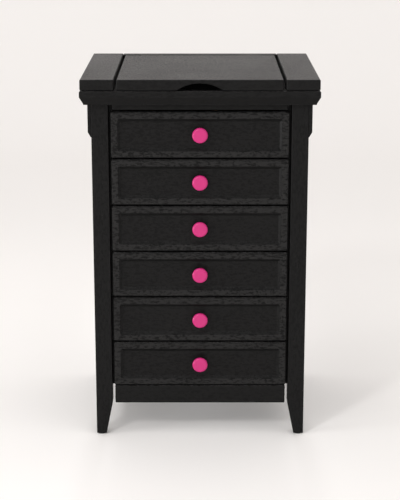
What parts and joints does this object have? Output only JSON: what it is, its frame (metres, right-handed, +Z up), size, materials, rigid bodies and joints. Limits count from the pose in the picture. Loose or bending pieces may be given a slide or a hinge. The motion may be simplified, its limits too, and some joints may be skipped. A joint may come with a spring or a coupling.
{
  "type": "jewelry armoire",
  "caption": "Free-standing jewelry chest with stacked drawers, a lift-up lid over a divided tray with a mirror, and slim side doors for necklaces.",
  "frame": {"origin": "on the floor, under the middle of the object's box", "axes": "+Z up, the drawer fronts face -Y, +X to the right seen from the front"},
  "size_m": [0.487, 0.395, 0.7722],
  "materials": {
    "black_wood": "satin black paint over open-grained wood",
    "inner_wood": "clear satin lacquer",
    "pink_knob": "satin enamel",
    "dark_metal": "dark bronze",
    "steel": "zinc plated",
    "brass": "polished",
    "mirror": "silvered glass",
    "velvet": "short pile velvet",
    "glide": "moulded",
    "catch_plastic": "moulded"
  },
  "bodies": {
    "case": {"left_front_post": "black_wood", "right_front_post": "black_wood", "left_back_post": "black_wood", "right_back_post": "black_wood", "left_partition": "black_wood", "right_partition": "black_wood", "back_panel": "black_wood", "bottom_board": "black_wood", "compartment_floor": "black_wood", "top_rail": "black_wood", "bottom_rail": "black_wood", "side_rails": "black_wood", "left_frieze": "black_wood", "right_frieze": "black_wood", "cornice": "black_wood", "left_end_strip": "black_wood", "right_end_strip": "black_wood", "rear_strip": "black_wood", "drawer_runners": "inner_wood", "floor_glides": "glide", "lid_hinge_leaves": "dark_metal", "tray_dividers": "velvet", "ring_rolls": "velvet", "door_hinge_leaves": "dark_metal", "necklace_hooks": "brass", "door_catches": "catch_plastic"},
    "lid": {"lid_panel": "black_wood", "mirror_frame": "black_wood", "mirror_glass": "mirror", "lid_hinge_flaps": "dark_metal"},
    "left_door": {"left_door_frame": "black_wood", "left_door_panel": "black_wood", "left_door_fittings": "dark_metal"},
    "right_door": {"right_door_frame": "black_wood", "right_door_panel": "black_wood", "right_door_fittings": "dark_metal"},
    "drawer_1": {"drawer_1_front": "black_wood", "drawer_1_box": "inner_wood", "drawer_1_knob": "pink_knob", "drawer_1_screw": "steel"},
    "drawer_2": {"drawer_2_front": "black_wood", "drawer_2_box": "inner_wood", "drawer_2_knob": "pink_knob", "drawer_2_screw": "steel"},
    "drawer_3": {"drawer_3_front": "black_wood", "drawer_3_box": "inner_wood", "drawer_3_knob": "pink_knob", "drawer_3_screw": "steel"},
    "drawer_4": {"drawer_4_front": "black_wood", "drawer_4_box": "inner_wood", "drawer_4_knob": "pink_knob", "drawer_4_screw": "steel"},
    "drawer_5": {"drawer_5_front": "black_wood", "drawer_5_box": "inner_wood", "drawer_5_knob": "pink_knob", "drawer_5_screw": "steel"},
    "drawer_6": {"drawer_6_front": "black_wood", "drawer_6_box": "inner_wood", "drawer_6_knob": "pink_knob", "drawer_6_screw": "steel"}
  },
  "joints": [
    {"name": "lid_hinge", "type": "hinge", "parent": "case", "child": "lid", "pos_m": [0, 0.1711, 0.77], "axis": [-1, 0, 0], "range_deg": [0, 100]},
    {"name": "left_door_hinge", "type": "hinge", "parent": "case", "child": "left_door", "pos_m": [-0.22, 0.1611, 0.37975], "axis": [0, 0, -1], "range_deg": [0, 110]},
    {"name": "right_door_hinge", "type": "hinge", "parent": "case", "child": "right_door", "pos_m": [0.22, 0.1611, 0.37975], "axis": [0, 0, 1], "range_deg": [0, 110]},
    {"name": "drawer_1_slide", "type": "slide", "parent": "case", "child": "drawer_1", "axis": [0, -1, 0], "range_m": [0, 0.24]},
    {"name": "drawer_2_slide", "type": "slide", "parent": "case", "child": "drawer_2", "axis": [0, -1, 0], "range_m": [0, 0.24]},
    {"name": "drawer_3_slide", "type": "slide", "parent": "case", "child": "drawer_3", "axis": [0, -1, 0], "range_m": [0, 0.24]},
    {"name": "drawer_4_slide", "type": "slide", "parent": "case", "child": "drawer_4", "axis": [0, -1, 0], "range_m": [0, 0.24]},
    {"name": "drawer_5_slide", "type": "slide", "parent": "case", "child": "drawer_5", "axis": [0, -1, 0], "range_m": [0, 0.24]},
    {"name": "drawer_6_slide", "type": "slide", "parent": "case", "child": "drawer_6", "axis": [0, -1, 0], "range_m": [0, 0.24]}
  ]
}
